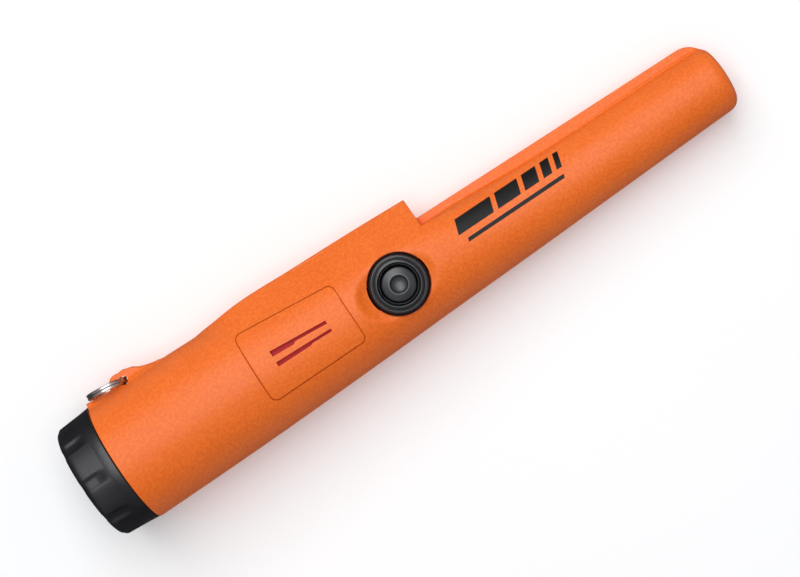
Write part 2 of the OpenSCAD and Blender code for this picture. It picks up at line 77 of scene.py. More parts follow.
# Places along x.
CAP_FACE = 3.0              # the cap's outer face
SEAM = 15.6                 # between the cap and the housing
RIDGE_START = 50.0          # where the ridge begins to stand out of the round handle
RIDGE_FULL = 67.0           # where its flanks have their full lean
SHOULDER = 128.5            # the ridge's front face
BLEND_END = 150.0           # where the shaft becomes round
FIN_END = 227.9
LENGTH = 228.7              # the sensing tip

FLANK = 40.0                # angle between the ridge's flanks and the button direction
TIP_ROUND = 3.5             # edge radius of the tip

BUTTON = (113.5, -1.1)      # its centre, (x, y)
BUTTON_R = 5.15             # of the part that stands in the bezel
BEZEL_R = 9.4
BEZEL_SEAT = 12.9           # about the height of the bezel's flange

DISH_R = 12.4               # the thumb dish around the button
DISH_FLOOR = 13.7
DISH_RISE = 2.3             # from its floor to its rim
DISH_POWER = 4.5            # how late the rise begins

LUG = (29.1, 20.3)          # centre of the hole in the ring's lug, (x, y)
LUG_HALF = 2.0              # half the lug's thickness
LUG_HOLE_R = 1.36
RIB_ROOT = 10.0             # the lug's rib ends here, inside the handle

FIN_HALF = 2.5              # half the fin's thickness, at the height FIN_BASE
FIN_BASE = 9.0
FIN_DRAFT = 0.04            # how its sides lean in
FIN_ROUND = 7.0             # radius of its front corner
FIN_ROOT = 2.0              # it ends here, inside the shaft

LAMP_Y = 15.1               # the lamp's centre, over the centre line
LAMP_HOLE_R = 2.35

# Lines along the housing, as knots (x, value) that a smooth curve runs through.
BELLY = [
    (15, -19.7), (50, -19.3), (90, -18.25), (128, -16.9), (150, -16.2), (180, -15.1), (229, -13.3),
]
HALF_WIDTH = [(15, 19.4), (50, 19.3), (90, 17.4), (128, 15.4), (139, 14.1), (150, 13.1), (229, 10.5)]
RIDGE_TOP = [
    (15, 24), (42, 20.6), (50, 19.4), (60, 19.85), (69, 20.6), (90, 20.15), (110, 19.6), (128, 18.85),
]
SHAFT_TOP = [(15, 9.5), (128, 9.5), (139, 9.3), (150, 9.2), (180, 9.1), (195, 10), (229, 13)]
FIN_TOP = [(100, 12.3), (128, 12.05), (150, 11.7), (180, 11.2), (229, 10.5)]


def curve_through(knots, x):
    """A smooth curve through a few knots (x, value), level with its ends beyond them."""
    kx, ky = np.array(knots, float).T
    slope = np.gradient(ky, kx)
    i = np.clip(np.searchsorted(kx, x) - 1, 0, len(kx) - 2)
    span = kx[i + 1] - kx[i]
    t = np.clip((x - kx[i]) / span, 0, 1)
    start = ky[i] * (1 + 2 * t) + span * slope[i] * t
    end = ky[i + 1] * (3 - 2 * t) + span * slope[i + 1] * (t - 1)
    return start * (1 - t) ** 2 + end * t**2


def smoothstep(t):
    """An even rise from 0 at t = 0 to 1 at t = 1, level beyond them."""
    t = np.clip(t, 0, 1)
    return t * t * (3 - 2 * t)


def round_and(a, b, r):
    """What is inside both a and b, with an outside edge of radius r. Fields are below 0 inside."""
    return np.minimum(-r, np.maximum(a, b)) + np.hypot(np.maximum(r + a, 0), np.maximum(r + b, 0))


def round_or(a, b, r):
    """What is inside a or b, with a fillet of radius r between them."""
    return np.maximum(r, np.minimum(a, b)) - np.hypot(np.maximum(r - a, 0), np.maximum(r - b, 0))


# ------------------------------------------------------------------ the housing's form

def flank_angle(x):
    """Lean of the flats beside the ridge, in radians. At both ends they are laid over into the round."""
    before = 1 - smoothstep((x - RIDGE_START) / (RIDGE_FULL - RIDGE_START))
    beyond = smoothstep((x - SHOULDER) / (BLEND_END - SHOULDER))
    return np.radians(FLANK + (90 - FLANK) * np.maximum(before, beyond))


def middle(x):
    """Height in y of the middle of the housing's round section."""
    return curve_through(BELLY, x) + curve_through(HALF_WIDTH, x)


def tapered_bar(x, y, a, b):
    """Distance outside a bar with round ends a and b, each (x, y, radius)."""
    run = (b[0] - a[0], b[1] - a[1])
    t = np.clip(((x - a[0]) * run[0] + (y - a[1]) * run[1]) / (run[0] ** 2 + run[1] ** 2), 0, 1)
    return np.hypot(x - a[0] - t * run[0], y - a[1] - t * run[1]) - (a[2] + (b[2] - a[2]) * t)


def lug_field(x, y, z):
    """The web that the split ring hangs from. It slopes down into the handle ahead of its hole,
    and a low rib runs back from it to the seam."""
    back = (LUG[0] - 1.8, LUG[1] + 0.1, 2.9)
    top = (LUG[0] + 1.2, LUG[1] - 1.85, 4.8)
    front = (LUG[0] + 10.7, 18.2, 0.9)
    web = round_or(tapered_bar(x, y, back, top), tapered_bar(x, y, top, front), 0.6)
    rib_top = 19.5 + 0.12 * np.maximum(24 - x, 0)       # it rises a little towards the seam
    rib = np.maximum(round_and(y - rib_top, x - LUG[0], 0.5), RIB_ROOT - y)
    return round_and(np.minimum(web, rib), np.abs(z) - LUG_HALF, 0.6)


def fin_field(x, y, z):
    """The scraper fin along the shaft, with drafted sides and a rounded front corner."""
    top = curve_through(FIN_TOP, x)
    ahead = np.clip(x - (FIN_END - FIN_ROUND), 0, FIN_ROUND)
    top = top - FIN_ROUND + np.sqrt(FIN_ROUND**2 - ahead**2)
    side = np.abs(z) - FIN_HALF + FIN_DRAFT * (y - FIN_BASE)
    fin = round_and(round_and(side, y - top, 0.4), x - FIN_END, 0.2)
    return np.maximum(fin, FIN_ROOT - y)


def dish_height(x, y):
    """The floor of the thumb dish around the button."""
    out = np.hypot(x - BUTTON[0], y - BUTTON[1]) / DISH_R
    return DISH_FLOOR + DISH_RISE * out**DISH_POWER


def housing_field(x, y, z):
    """Below 0 inside the housing's outer form: the round handle and shaft with their flats, cut off
    at the ridge or the shaft's top, with the fin, the lug, the thumb dish and the level land."""
    half = curve_through(HALF_WIDTH, x)
    mid = middle(x)
    angle = flank_angle(x)
    rounded = np.hypot(y - mid, z) - half
    flats = np.abs(z) * np.cos(angle) + (y - mid) * np.sin(angle) - half
    flats = np.maximum(flats, mid + half * np.sin(angle) - y)       # only above where they touch
    stem = np.minimum(rounded, flats)
    ridge_edge = 0.1 + 0.5 * smoothstep((x - RIDGE_START) / 20)
    ridge = round_and(stem, y - curve_through(RIDGE_TOP, x), ridge_edge)
    ridge = round_and(ridge, x - SHOULDER, 0.45)
    shaft_edge = 0.4 + 2.0 * smoothstep((x - SHOULDER) / 16)
    shaft = round_and(stem, y - curve_through(SHAFT_TOP, x), shaft_edge)
    body = np.minimum(ridge, shaft)
    body = round_or(body, fin_field(x, y, z), 0.8)
    body = round_or(body, lug_field(x, y, z), 2.2)
    body = np.where(z > 0, round_and(body, z - dish_height(x, y), 0.8), body)
    body = round_and(body, -height_over_floor(x, z), 0.3)
    body = round_and(body, x - LENGTH, TIP_ROUND)
    return round_and(body, SEAM - x, 0.3)


def solve_out(inside_at, near, far, steps=26):
    """How far out each ray leaves the form, by halving. inside_at says where a distance is inside."""
    for _ in range(steps):
        half = (near + far) / 2
        inside = inside_at(half)
        near = np.where(inside, half, near)
        far = np.where(inside, far, half)
    return near


def surface_z(x, y, highest=25.0):
    """Height of the housing's button side over the centre plane."""
    x, y = np.broadcast_arrays(np.asarray(x, float), np.asarray(y, float))
    low, high = np.zeros(x.shape), np.full(x.shape, highest)
    return solve_out(lambda z: housing_field(x, y, z) < 0, low, high)


# ------------------------------------------------------------------ mesh tools

def make_mesh(name, vertices, faces):
    """An object in the row frame from vertices in the probe's millimetres."""
    mesh = bpy.data.meshes.new(name)
    mesh.from_pydata(laid(vertices).tolist(), [], faces)
    made = bmesh.new()
    made.from_mesh(mesh)
    bmesh.ops.recalc_face_normals(made, faces=made.faces)
    made.to_mesh(mesh)
    made.free()
    ob = bpy.data.objects.new(name, mesh)
    bpy.context.scene.collection.objects.link(ob)
    return ob


def ring_faces(rings, sides):
    """Quads between rings of points, each closed on itself."""
    faces = []
    for i in range(rings - 1):
        a = i * sides
        b = a + sides
        faces += [(a + j, b + j, b + (j + 1) % sides, a + (j + 1) % sides) for j in range(sides)]
    return faces


def loft(name, rings, first_pole=None, last_pole=None):
    """A closed skin over rings of points. An end with a pole is closed in a fan, and an end
    without one in a single face."""
    rings = [np.asarray(r, float) for r in rings]
    sides = len(rings[0])
    vertices = np.concatenate(rings)
    faces = ring_faces(len(rings), sides)
    last = (len(rings) - 1) * sides
    for pole, base in ((first_pole, 0), (last_pole, last)):
        if pole is None:
            faces.append(tuple(base + j for j in range(sides)))
            continue
        tip = len(vertices)
        vertices = np.concatenate([vertices, [pole]])
        faces += [(base + j, base + (j + 1) % sides, tip) for j in range(sides)]
    return make_mesh(name, vertices, faces)


def smooth(ob, degrees=32):
    """Smooth shading with sharp edges where the surface really turns."""
    ob.data.polygons.foreach_set("use_smooth", [True] * len(ob.data.polygons))
    ob.data.set_sharp_from_angle(angle=math.radians(degrees))
    return ob


def cut(ob, cutter, operation="DIFFERENCE"):
    """Cuts ob with cutter, or joins the two with UNION, and removes the cutter."""
    mod = ob.modifiers.new("cut", "BOOLEAN")
    mod.operation = operation
    mod.object = cutter
    mod.solver = "MANIFOLD"
    shape = bpy.data.meshes.new_from_object(ob.evaluated_get(bpy.context.evaluated_depsgraph_get()))
    ob.modifiers.clear()
    old = ob.data
    shape.name = old.name
    ob.data = shape
    bpy.data.meshes.remove(old)
    bpy.data.objects.remove(cutter)
    return ob


def circle_ring(x, r, y, sides=96):
    """A ring about a line along x, at the height y over the centre line."""
    a = np.linspace(0, 2 * np.pi, sides, endpoint=False)
    return np.stack([np.full(sides, x), y + r * np.cos(a), r * np.sin(a)], 1)


def turned_x(name, profile, y, sides):
    """A turned piece about a line along x, from points (x, radius) that start and end on it."""
    rings = [circle_ring(x, r, y, sides) for x, r in profile[1:-1]]
    return loft(name, rings, (profile[0][0], y, 0), (profile[-1][0], y, 0))


def turned_z(name, profile, x, y, sides=128):
    """A turned piece about a line along z, from points (radius, z). It is closed on its axis where
    it starts and ends there, and into itself where it doesn't."""
    a = np.linspace(0, 2 * np.pi, sides, endpoint=False)
    on_axis = profile[0][0] == 0
    points = profile[1:-1] if on_axis else list(profile) + [profile[0]]
    across, up = np.cos(a), np.sin(a)
    rings = [np.stack([x + r * across, y + r * up, np.full(sides, h)], 1) for r, h in points]
    if on_axis:
        return loft(name, rings, (x, y, profile[0][1]), (x, y, profile[-1][1]))
    faces = ring_faces(len(rings), sides)
    inner = [tuple(v % ((len(rings) - 1) * sides) for v in f) for f in faces]
    return make_mesh(name, np.concatenate(rings[:-1]), inner)


def arc(centre, r, start, end, steps):
    """Points of an arc, by angles in degrees."""
    a = np.radians(np.linspace(start, end, steps + 1))
    return [(centre[0] + r * math.cos(t), centre[1] + r * math.sin(t)) for t in a]


# ------------------------------------------------------------------ the housing

def housing_stations():
    """Places along x where the housing's skin has a ring, close together where its form turns."""
    # From, to and step.
    spans = [
        (SEAM, SEAM + 0.5, 0.06), (SEAM + 0.5, 24.4, 0.7), (24.4, 27.4, 0.15), (27.4, 44, 0.4),
        (44, 97, 0.7), (97, SHOULDER - 0.6, 0.4), (SHOULDER - 0.6, SHOULDER - 0.02, 0.05),
        (SHOULDER - 0.02, SHOULDER + 0.4, 0.03), (SHOULDER + 0.4, 152, 0.5), (152, 215, 0.9),
        (215, 225.5, 0.3), (225.5, 228.4, 0.15), (228.4, LENGTH, 0.04),
    ]
    places = np.concatenate([np.arange(a, b, step) for a, b, step in spans])
    return np.append(places, LENGTH - 0.002)


def column_angles(x):
    """Angles from +y of the skin's columns at each x. They crowd along the edge of the ridge, the
    side of the fin and, from the shoulder on, the lower edge of the flat beside it. Before the
    ridge they draw in towards the lug's sides."""
    at = np.clip(x, RIDGE_FULL, SHOULDER)
    top = curve_through(RIDGE_TOP, at) - middle(at)
    lean = math.radians(FLANK)
    width = (curve_through(HALF_WIDTH, at) - top * math.sin(lean)) / math.cos(lean)
    ridge = np.degrees(np.arctan2(width, top))
    ridge = np.where(x < RIDGE_FULL, np.interp(x, [44, RIDGE_FULL], [6, ridge[0]]), ridge)
    fin = np.degrees(np.arctan2(FIN_HALF, curve_through(FIN_TOP, x) - middle(x)))
    edge = np.where(x > SHOULDER, fin, ridge)
    flat = np.interp(x, [SHOULDER, 139, BLEND_END], [45, 34, 21.5])
    near = smoothstep((x - 95) / (SHOULDER - 95))
    even = [edge + 4 + (86 - edge) * share for share in (0.35, 0.58)]
    dense_from = even[0] + (flat - 3 - even[0]) * near
    dense_to = even[1] + (flat + 3 - even[1]) * near
    # From, to and the number of columns.
    bounds = [
        (0, edge - 2, 14), (edge - 2, edge + 4, 28), (edge + 4, dense_from, 18),
        (dense_from, dense_to, 12), (dense_to, 90, 22), (90, 180, 40),
    ]
    parts = []
    for low, high, count in bounds:
        t = np.arange(count) / count
        low = np.broadcast_to(low, x.shape)[:, None]
        high = np.broadcast_to(high, x.shape)[:, None]
        parts.append(low + (high - low) * t)
    right = np.concatenate(parts, 1)
    left = 360 - right[:, :0:-1]
    return np.radians(np.concatenate([right, np.full((len(x), 1), 180.0), left], 1))


def housing_skin(nearest=0.2, furthest=40.0):
    """The housing's outer skin: a ring of rays from the middle of the section at each station."""
    x = housing_stations()
    angle = column_angles(x)
    xs = np.broadcast_to(x[:, None], angle.shape)
    mid = middle(xs)
    across, up = np.sin(angle), np.cos(angle)
    near, far = np.full(angle.shape, nearest), np.full(angle.shape, furthest)
    out = solve_out(lambda r: housing_field(xs, mid + r * up, r * across) < 0, near, far)
    rings = np.stack([xs, mid + out * up, out * across], 2)
    tip = rings[-1]
    centre = np.array([LENGTH, mid[-1, 0], 0])
    ends = [centre + (tip - centre) * f for f in (0.75, 0.5, 0.25)]
    for ring in ends:
        ring[:, 0] = LENGTH
    return loft("housing_shell", [*rings, *ends], (SEAM, mid[0, 0], 0), centre)


def hollow_cutter():
    """The inside of the housing: the cap's mouth and thread bore, the bays and the shaft."""
    # Place along x, radius, and how far in y the bore's middle is off the centre line.
    sections = [
        (SEAM - 1, 17.3, 0), (SEAM + 3, 17.3, 0), (SEAM + 3, 17.1, 0), (26.8, 17.1, 0), (26.8, 16.2, 0),
        (76.4, 16.2, 0), (76.4, 15.5, -0.6), (94, 14.8, -0.6), (103, 13, -0.6), (125.9, 12.6, -0.6),
        (126, 11.1, -3), (225, 8.5, -3),
    ]
    return loft("hollow", [circle_ring(x, r, y) for x, r, y in sections])


def panel_outline(more, count=240):
    """The speaker panel's outline: four straight sides with round corners, grown by more."""
    r = 2.0
    # Each corner (x, y), the way into the panel from it, and where its arc starts.
    corners = [
        (64, -9.7, 1, 1, 180), (96.8, -9.5, -1, 1, 270),
        (96.8, 10.1, -1, -1, 0), (64.3, 12.8, 1, -1, 90),
    ]
    points = []
    for x, y, sx, sy, start in corners:
        points += arc((x + sx * r, y + sy * r), r + more, start, start + 90, 10)
    points = np.array(points + points[:1])
    lengths = np.concatenate([[0], np.cumsum(np.hypot(*np.diff(points, axis=0).T))])
    at = np.linspace(0, lengths[-1], count, endpoint=False)
    return np.stack([np.interp(at, lengths, points[:, k]) for k in (0, 1)], 1)


PANEL_MIDDLE = np.array([80.4, 0.8])
PANEL_INSET = 9.0           # about how far its middle is from its edge


def panel_solid(name, more, top, bottom, rings=26):
    """A solid under the panel's outline, between the heights top(x, y, inset) and bottom(x, y).
    The inset is about how far a point is from the outline."""
    outline, centre = panel_outline(more), PANEL_MIDDLE
    # Shares of the way from the middle out, close together at the rounded edge.
    shares = np.concatenate([[1, 0.997, 0.99, 0.98], np.linspace(1, 0.03, rings)[1:]])
    flat = [centre + (outline - centre) * s for s in shares]
    inset = [np.full(len(outline), (1 - s) * PANEL_INSET) for s in shares]
    upper = [np.column_stack([p, top(p[:, 0], p[:, 1], d)]) for p, d in zip(flat, inset)]
    lower = [np.column_stack([p, bottom(p[:, 0], p[:, 1])]) for p in flat]
    return loft(
        name, [*upper[::-1], *lower],
        (*centre, float(top(*centre, PANEL_INSET))), (*centre, float(bottom(*centre))),
    )


def slot_prism(name, x0, x1, step, upper, wide, narrow):
    """A sound slot as a cutter. Its upper edge runs straight between the two heights in upper, and
    its width drops from wide[0] and wide[1] to narrow at the step."""
    low, high = 9, 22           # past both faces of the panel

    def edge(x):
        return upper[0] + (upper[1] - upper[0]) * (x - x0) / (x1 - x0)

    outline = [
        (x0, edge(x0)), (x1, edge(x1)), (x1, edge(x1) - narrow), (step + 0.5, edge(step) - narrow),
        (step - 0.4, edge(step) - wide[1]), (x0, edge(x0) - wide[0]),
    ]
    return loft(name, [np.array([(x, y, z) for x, y in outline]) for z in (low, high)])


def window_cutter():
    """The opening behind the panel, as long as its sound slots."""
    r = 5.5
    low, high = 8, 20           # past both faces of the wall
    ends = arc((85.8, 0.6), r, -90, 90, 16) + arc((75.2, 0.6), r, 90, 270, 16)
    return loft("window", [np.array([(x, y, z) for x, y in ends]) for z in (low, high)])


def panel_seat():
    """The recess that the panel lies in, with a fine gap around it."""
    gap, deep, over = 0.17, 1.4, 24.0
    return panel_solid(
        "seat", gap, lambda x, y, inset: np.full(np.shape(x), over),
        lambda x, y: surface_z(x, y) - deep,
    )


def button_hole():
    """The hole through the dish, stepped for the bezel's flange."""
    inner_r, seat_r = 7.3, BEZEL_R + 0.25
    low, seat, high = 4, BEZEL_SEAT - 0.5, 20
    steps = [(0, low), (inner_r, low), (inner_r, seat), (seat_r, seat), (seat_r, high), (0, high)]
    return turned_z("button_hole", steps, *BUTTON)


def build_housing():
    """The orange shell: handle, ridge, shaft, fin and lug, hollowed and cut for what it carries."""
    shell = housing_skin()
    cut(shell, hollow_cutter())
    cut(shell, panel_seat())
    cut(shell, window_cutter())
    cut(shell, button_hole())
    lamp = [(122, 0), (122, LAMP_HOLE_R), (130, LAMP_HOLE_R), (130, 0)]
    cut(shell, turned_x("lamp_hole", lamp, LAMP_Y, sides=48))
    hole = [(0, -5), (LUG_HOLE_R, -5), (LUG_HOLE_R, 5), (0, 5)]
    cut(shell, turned_z("lug_hole", hole, *LUG, sides=40))
    smooth(shell)
    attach(shell, "probe_body")
    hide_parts("housing")
    return shell


def build_panel():
    """The flush speaker panel, with a rounded edge and two stepped sound slots."""
    sunk, edge_drop, edge_wide, thick = 0.05, 0.25, 0.18, 1.3

    def face(x, y, inset):
        return surface_z(x, y) - sunk - edge_drop * np.maximum(0, 1 - inset / edge_wide) ** 2

    cover = panel_solid("speaker_panel", 0.0, face, lambda x, y: surface_z(x, y) - thick)
    cut(cover, slot_prism(
        "slot_a", x0=71.1, x1=89.7, step=78.6, upper=(3.6, 2.08), wide=(1.78, 1.6), narrow=1.05,
    ))
    cut(cover, slot_prism(
        "slot_b", x0=71.0, x1=89.7, step=82.6, upper=(-0.1, -0.7), wide=(1.45, 1.2), narrow=0.9,
    ))
    smooth(cover)
    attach(cover, "probe_body")
    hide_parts("speaker_cover")
    return cover


def build_membrane():
    """The red film behind the slots, following the panel's curve."""
    grown, front, back = -3.0, 1.42, 1.7
    film = panel_solid(
        "speaker_film", grown, lambda x, y, inset: surface_z(x, y) - front,
        lambda x, y: surface_z(x, y) - back, rings=12,
    )
    smooth(film)
    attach(film, "probe_body")
    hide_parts("speaker_membrane")
    return film


# ------------------------------------------------------------------ the battery cap

FLUTES = 9
FLUTE_PHASE = math.radians(8.5)
FLUTE_DEPTH = 0.6
CAP_CORNER_R = 2.2
CAP_FLOOR = CAP_FACE + 3.2  # the inner face of its end
CAP_RIM_R = 18.7            # at the outer end
CAP_BAND_R = 19.5           # beside the seam
THREAD_PITCH = 3.0

# The cap's neck inside the housing, its floor and the collar on it, as points (x, radius).
NECK = [
    (SEAM - 0.1, 16.9), (SEAM + 0.4, 16.9), (SEAM + 0.4, 15.4), (SEAM + 2.4, 15.4), (SEAM + 2.4, 16.6),
    (SEAM + 3, 16.6), (SEAM + 3, 15.75), (SEAM + 10.3, 15.75), (SEAM + 10.6, 15.45), (SEAM + 10.6, 13.6),
    (CAP_FLOOR, 13.6), (CAP_FLOOR, 7), (SEAM + 1.8, 7), (SEAM + 1.8, 5.6), (CAP_FLOOR, 5.6),
]


def cap_profile():
    """The cap's outside, as points (x, radius) from the middle of its end face to the seam."""
    bulge = ((0, 2), (0, 5), (0, 8), (0.03, 11), (0.1, 13.5), (0.2, 15))
    face = [(CAP_FACE + dx, r) for dx, r in bulge]
    turn = np.radians(np.linspace(8, 82, 12))
    corner_x = CAP_FACE + 0.2 + CAP_CORNER_R
    inner_r = CAP_RIM_R - CAP_CORNER_R
    corner = [
        (corner_x - CAP_CORNER_R * math.cos(t), inner_r + CAP_CORNER_R * math.sin(t)) for t in turn
    ]
    flare, flare_from, flare_long = CAP_BAND_R - 0.3 - CAP_RIM_R, 5.5, 7.0
    side = [
        (x, CAP_RIM_R + flare * (x - flare_from) / flare_long) for x in np.linspace(6.2, 12.4, 24)
    ]
    band = [(12.75, -0.25), (13.0, -0.22), (15.1, 0), (15.35, -0.07), (15.5, -0.27)]
    return face + corner + side + [(x, CAP_BAND_R + dr) for x, dr in band]


def build_cap(sides=480):
    """The screw cap: shallow flutes that fade out towards its band, a neck and a thread."""
    a = np.linspace(0, 2 * np.pi, sides, endpoint=False)
    scallop = smoothstep((np.cos(FLUTES * (a - FLUTE_PHASE)) - 0.45) / 0.55)

    def ring(x, r, depth):
        out = r - depth * scallop
        return np.stack([np.full(sides, x), out * np.cos(a), out * np.sin(a)], 1)

    def flute_depth(x, r):
        """Full on the side, and faded out towards the band and the middle of the end face."""
        return FLUTE_DEPTH * smoothstep((12.8 - x) / 4.6) * smoothstep((r - 11) / 4)

    rings = [ring(x, r, flute_depth(x, r)) for x, r in cap_profile()]
    rings += [ring(x, r, 0.0) for x, r in NECK]
    cap = loft("cap_shell", rings, (CAP_FACE, 0, 0), (CAP_FLOOR, 0, 0))
    thread = thread_ridge("cap_thread", x0=SEAM + 3.6, turns=2.1, root=15.35, crest=16.75)
    cut(cap, thread, "UNION")
    smooth(cap, 38)
    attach(cap, "cap")
    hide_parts("battery_cap")
    return cap


def thread_ridge(name, x0, turns, root, crest):
    """A helical ridge about the centre line, from the radius root to crest, faded at both ends."""
    per_turn, faded = 60, 15
    steps = int(turns * per_turn)
    rings = []
    for i in range(steps + 1):
        fade = max(0.05, min(1, min(i, steps - i) / faded))
        flank = root + (crest - root) * fade
        top = flank + 0.06
        a = 2 * math.pi * i / per_turn
        x = x0 + THREAD_PITCH * i / per_turn
        shape = [(-0.8, root), (-0.36, flank), (-0.24, top), (0.24, top), (0.36, flank), (0.8, root)]
        rings.append([(x + dx, r * math.cos(a), r * math.sin(a)) for dx, r in shape])
    return loft(name, rings)


# ------------------------------------------------------------------ the button

def build_bezel():
    """The black ring around the button: a flange in its seat, a low shoulder and a domed rim."""
    bottom, bore_r, neck_r = 10.6, 6.0, 7.1
    flange_low, flange_top = BEZEL_SEAT - 0.3, BEZEL_SEAT + 0.1
    flange = [
        (bore_r, bottom), (neck_r, bottom), (neck_r, flange_low), (BEZEL_R, flange_low),
        (BEZEL_R, flange_top),
    ]
    wall = [(9.0, flange_top + 0.6), (8.82, flange_top + 1.1), (8.78, 15.6), (8.72, 15.8)]
    shoulder = [(8.6, 15.9), (8.3, 16.02), (8.1, 16.08), (8.02, 16.06), (7.96, 15.9)]
    groove = [(7.9, 15.4), (7.82, 15.2), (7.7, 15.2), (7.62, 15.5)]
    rim = [
        (7.58, 16.3), (7.53, 16.58), (7.44, 16.72), (7.3, 16.8), (7.0, 16.93), (6.75, 17.02),
        (6.6, 17.05), (6.5, 17.02), (6.42, 16.95), (6.3, 16.75),
    ]
    bore = [(6.25, 16.2), (6.12, 15.6), (bore_r, 15)]
    profile = flange + wall + shoulder + groove + rim + bore
    bezel = smooth(turned_z("bezel", profile, *BUTTON), 40)
    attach(bezel, "probe_body")
    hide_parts("button_bezel")
    return bezel


def build_button():
    """The rubber button: a flange under the bezel, a sloping crown and a finger dimple."""
    low, high, flange_r, edge_r = 9.3, 10.5, 6.8, 0.35
    flange = [(0, low), (2, low), (4, low), (flange_r, low), (flange_r, high)]
    side = [(5.85, high), (BUTTON_R, 13.2), (BUTTON_R, 15.3)]
    edge = arc((BUTTON_R - edge_r, 15.35), edge_r, 0, 60, 5)[1:]
    crown = [
        (4.6, 15.8), (4.2, 15.95), (3.8, 16.09), (3.4, 16.23), (3.1, 16.32), (2.9, 16.36),
        (2.75, 16.34), (2.65, 16.24),
    ]
    dimple = [
        (2.56, 16.05), (2.44, 15.85), (2.2, 15.62), (1.8, 15.42), (1.3, 15.25), (0.9, 15.16),
        (0.4, 15.1), (0, 15.1),
    ]
    profile = flange + side + edge + crown + dimple
    button = smooth(turned_z("rubber_button", profile, *BUTTON), 50)
    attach(button, "button")
    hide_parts("button_cap")
    return button


# ------------------------------------------------------------------ the print on the shaft

def print_mark(name, corners):
    """A thin flat of ink on the shaft, inside four corners (x, y) in order."""
    proud, sunk = 0.02, 0.2     # how far its faces are over and under the surface
    n, m = 17, 9                # points along and across it
    a, b, c, d = (np.array(p, float) for p in corners)
    grid = np.array([
        [(a + (b - a) * u) * (1 - v) + (d + (c - d) * u) * v for u in np.linspace(0, 1, n)]
        for v in np.linspace(0, 1, m)
    ])
    height = surface_z(grid[..., 0], grid[..., 1])
    top = np.dstack([grid, height + proud]).reshape(-1, 3)
    low = np.dstack([grid, height - sunk]).reshape(-1, 3)
    count = n * m
    faces = []
    for j in range(m - 1):
        for i in range(n - 1):
            q = (j * n + i, j * n + i + 1, (j + 1) * n + i + 1, (j + 1) * n + i)
            faces += [q, tuple(count + v for v in q[::-1])]
    rim = list(range(n)) + [j * n + n - 1 for j in range(1, m)]
    rim += [(m - 1) * n + i for i in range(n - 2, -1, -1)] + [j * n for j in range(m - 2, 0, -1)]
    faces += [(p, q, count + q, count + p) for p, q in zip(rim, rim[1:] + rim[:1])]
    mark = smooth(make_mesh(name, np.concatenate([top, low]), faces), 50)
    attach(mark, "probe_body")
    return mark


def build_print():
    """Plain slanted stripes over a thin line, in place of the maker's print."""
    marks = []
    x, lean, gap, low, high = 136.0, 1.6, 1.6, 1.0, 5.6
    for i, length in enumerate((12.5, 8.0, 5.0, 3.0, 1.8)):
        corners = [(x, low), (x + length, low), (x + length + lean, high), (x + lean, high)]
        marks.append(print_mark(f"print_stripe_{i + 1}", corners))
        x += length + gap
    line = [(137.5, -2.2), (171.5, -2.2), (171.9, -1.0), (137.9, -1.0)]
    marks.append(print_mark("print_line", line))
    return marks


# ------------------------------------------------------------------ the lamp lens and the split ring

def build_lens():
    """The lamp's lens: a short plug with a low dome, just behind the shoulder's face."""
    back, front, rise, plug_r, dome_r = 126.3, 127.6, 0.6, 2.3, 2.25
    turn = np.radians(np.linspace(8, 82, 10))
    dome = [(front + rise * math.sin(t), dome_r * math.cos(t)) for t in turn]
    profile = [(back, 0), (back, plug_r), (front, plug_r), *dome, (front + rise, 0)]
    lens = smooth(turned_x("lamp_lens", profile, LAMP_Y, sides=64), 40)
    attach(lens, "probe_body")
    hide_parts("led_lens")
    return lens


RING_R = 6.1                    # to the middle of the wire
RING_HANG = (0.3, -0.05)        # where the wire crosses the lug's hole, from its centre
RING_TILT = math.radians(6.6)   # of its plane against the centre line
RING_LEAN = math.radians(4)     # towards the ridge on the button's side
WIRE_W = 1.1                    # the wire's width, in the ring's plane
COIL_T = 0.96                   # the thickness of one turn, along the ring's axis
WIRE_ROUND = 0.3                # edge radius of the wire
RING_START = math.radians(35)   # where the wire's ends are
STEP_FROM, STEP_TURNS = 0.93, 0.14  # where it steps from one turn to the next, in turns


def build_ring():
    """A flat wire wound twice, with the step between its turns and both cut ends."""
    steps = 300
    wound = 0.995               # share of the two turns, so that its ends don't meet
    half_w, half_t = WIRE_W / 2 - WIRE_ROUND, (COIL_T - 0.02) / 2 - WIRE_ROUND
    section = []
    for cx, cy, a0 in ((1, 1, 0), (-1, 1, 90), (-1, -1, 180), (1, -1, 270)):
        section += arc((cx * half_w, cy * half_t), WIRE_ROUND, a0, a0 + 90, 4)
    along = np.array([math.cos(RING_TILT), -math.sin(RING_TILT), 0])
    upright = np.array([math.sin(RING_TILT), math.cos(RING_TILT), 0])
    centre = np.array([LUG[0] + RING_HANG[0], LUG[1] + RING_HANG[1], 0]) - RING_R * along
    normal = upright * math.cos(RING_LEAN) - np.array([0, 0, math.sin(RING_LEAN)])
    across = upright * math.sin(RING_LEAN) + np.array([0, 0, math.cos(RING_LEAN)])
    rings = []
    for i in range(steps + 1):
        turn = 2 * i / steps
        a = RING_START + 2 * math.pi * turn * wound
        lift = -COIL_T / 2 + COIL_T * smoothstep((turn - STEP_FROM) / STEP_TURNS)
        radial = along * math.cos(a) + across * math.sin(a)
        rings.append([centre + radial * (RING_R + u) + normal * (lift + v) for u, v in section])
    ring = smooth(loft("split_ring_wire", rings), 50)
    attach(ring, "lanyard_ring")
    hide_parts("split_ring")
    return ring


# ------------------------------------------------------------------ materials

